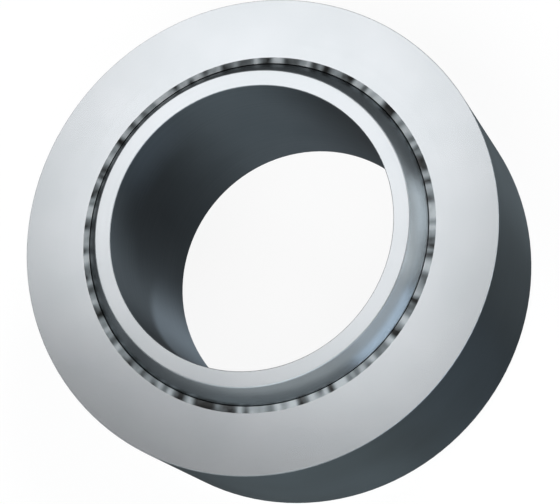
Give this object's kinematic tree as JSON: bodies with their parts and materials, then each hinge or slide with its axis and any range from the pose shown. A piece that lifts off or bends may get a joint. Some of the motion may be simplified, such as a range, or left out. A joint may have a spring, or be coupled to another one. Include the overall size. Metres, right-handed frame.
{
  "type": "spherical plain bearing",
  "caption": "Self-aligning plain bearing: a ball-shaped inner ring with a plain bore tilts in an outer ring with a bonded sliding liner.",
  "frame": {"origin": "centre of the ball, on the bore axis midway between the inner ring's end faces", "axes": "+Z along the bore axis, the part lying on the inner ring's lower end face; +Y is the axis of the tilt joint"},
  "size_m": [0.042, 0.042, 0.02],
  "materials": {
    "inner_ring_steel": "satin",
    "sliding_fabric": "matte",
    "outer_ring_steel": "satin"
  },
  "bodies": {
    "inner_ring": {"inner_ring": "inner_ring_steel"},
    "outer_ring": {"outer_ring": "outer_ring_steel", "liner": "sliding_fabric"}
  },
  "joints": [
    {"name": "ring_tilt", "type": "hinge", "parent": "inner_ring", "child": "outer_ring", "pos_m": [0, 0, 0], "axis": [0, 1, 0], "range_deg": [-7, 7]}
  ]
}
